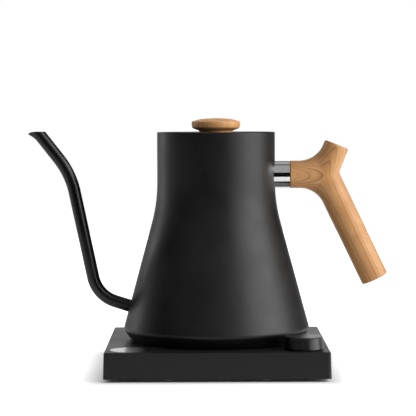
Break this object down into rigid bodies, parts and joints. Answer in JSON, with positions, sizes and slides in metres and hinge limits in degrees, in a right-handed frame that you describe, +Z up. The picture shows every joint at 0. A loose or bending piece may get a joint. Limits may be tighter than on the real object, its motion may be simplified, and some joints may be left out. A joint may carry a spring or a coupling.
{
  "type": "electric kettle",
  "caption": "Gooseneck electric kettle with a wooden pistol handle and a lift-off lid, standing on a square power base with a round display and a press-and-turn dial.",
  "frame": {"origin": "centre of the square base on the plane that its rubber feet stand on", "axes": "+Z up; +X towards the handle, -X towards the spout; -Y is the front, with the display and the dial"},
  "size_m": [0.2867, 0.1752, 0.2005],
  "materials": {
    "shell_black": "fine matte moulded plastic",
    "plate_black": "moulded plastic",
    "foot_rubber": "matte rubber",
    "screw_steel": "machined steel",
    "connector_black": "heat resistant plastic",
    "contact_brass": "bright contact",
    "board_green": "glass fibre board",
    "relay_black": "moulded case",
    "coil_yellow": "taped transformer",
    "can_aluminium": "drawn can",
    "bezel_black": "polished ring",
    "lens_black": "polished dark window",
    "display_glass": "display panel",
    "encoder_black": "moulded case",
    "shaft_aluminium": "turned shaft",
    "dial_black": "satin plastic",
    "gland_rubber": "moulded rubber",
    "switch_black": "moulded case",
    "slider_white": "moulded slider",
    "body_black": "matte black powder coat on stainless steel",
    "bare_steel": "satin stainless steel",
    "spreader_aluminium": "cast aluminium",
    "element_aluminium": "sheathed element",
    "cutout_ceramic": "ceramic case",
    "seal_silicone": "silicone",
    "cover_black": "moulded plastic",
    "ferrule_steel": "polished stainless steel",
    "insert_brass": "turned brass",
    "handle_wood": "oiled wood with open grain",
    "knob_wood": "oiled wood"
  },
  "bodies": {
    "base": {"base_shell": "shell_black", "base_plate": "plate_black", "base_feet": "foot_rubber", "base_screws": "screw_steel", "base_connector": "connector_black", "live_ring": "contact_brass", "neutral_ring": "contact_brass", "earth_pin": "contact_brass", "main_board": "board_green", "power_relay": "relay_black", "power_supply": "coil_yellow", "filter_capacitor": "can_aluminium", "board_screws": "screw_steel", "display_bezel": "bezel_black", "display_lens": "lens_black", "lcd_module": "display_glass", "display_board": "board_green", "encoder_board": "board_green", "encoder_body": "encoder_black", "cord_gland": "gland_rubber", "hold_switch_body": "switch_black"},
    "hold_switch": {"hold_slider": "slider_white"},
    "dial_plunger": {"encoder_plunger": "shaft_aluminium"},
    "dial": {"encoder_shaft": "shaft_aluminium", "dial_knob": "dial_black"},
    "kettle_socket": {"kettle_connector": "connector_black", "kettle_live_contact": "contact_brass", "kettle_neutral_contact": "contact_brass", "kettle_earth_contact": "contact_brass"},
    "kettle": {"kettle_body": "body_black", "spout": "body_black", "kettle_floor": "bare_steel", "heat_spreader": "spreader_aluminium", "heating_element": "element_aluminium", "element_terminals": "screw_steel", "thermal_cutout": "cutout_ceramic", "temperature_probe": "bare_steel", "probe_seal": "seal_silicone", "bottom_cover": "cover_black", "bottom_cover_screws": "screw_steel", "ferrule": "ferrule_steel", "handle_stud": "screw_steel", "handle_insert": "insert_brass", "handle": "handle_wood"},
    "lid": {"lid_disc": "body_black", "lid_skirt": "bare_steel", "lid_seal": "seal_silicone", "lid_inner_disc": "bare_steel", "lid_knob": "knob_wood", "knob_insert": "insert_brass", "knob_washer": "screw_steel", "knob_screw": "screw_steel"}
  },
  "joints": [
    {"name": "kettle_lift", "type": "slide", "parent": "base", "child": "kettle_socket", "axis": [0, 0, 1], "range_m": [0, 0.06]},
    {"name": "kettle_swivel", "type": "hinge", "parent": "kettle_socket", "child": "kettle", "pos_m": [0, 0, 0.03], "axis": [0, 0, 1], "continuous": true},
    {"name": "lid_lift", "type": "slide", "parent": "kettle", "child": "lid", "axis": [0, 0, 1], "range_m": [0, 0.05]},
    {"name": "dial_press", "type": "slide", "parent": "base", "child": "dial_plunger", "axis": [0, 0, -1], "range_m": [0, 0.0005], "stiffness_N_per_m": 800, "springref_m": -0.001},
    {"name": "dial_turn", "type": "hinge", "parent": "dial_plunger", "child": "dial", "pos_m": [0.0668, -0.0668, 0.03], "axis": [0, 0, 1], "continuous": true},
    {"name": "hold_switch_slide", "type": "slide", "parent": "base", "child": "hold_switch", "axis": [1, 0, 0], "range_m": [0, 0.003]}
  ]
}
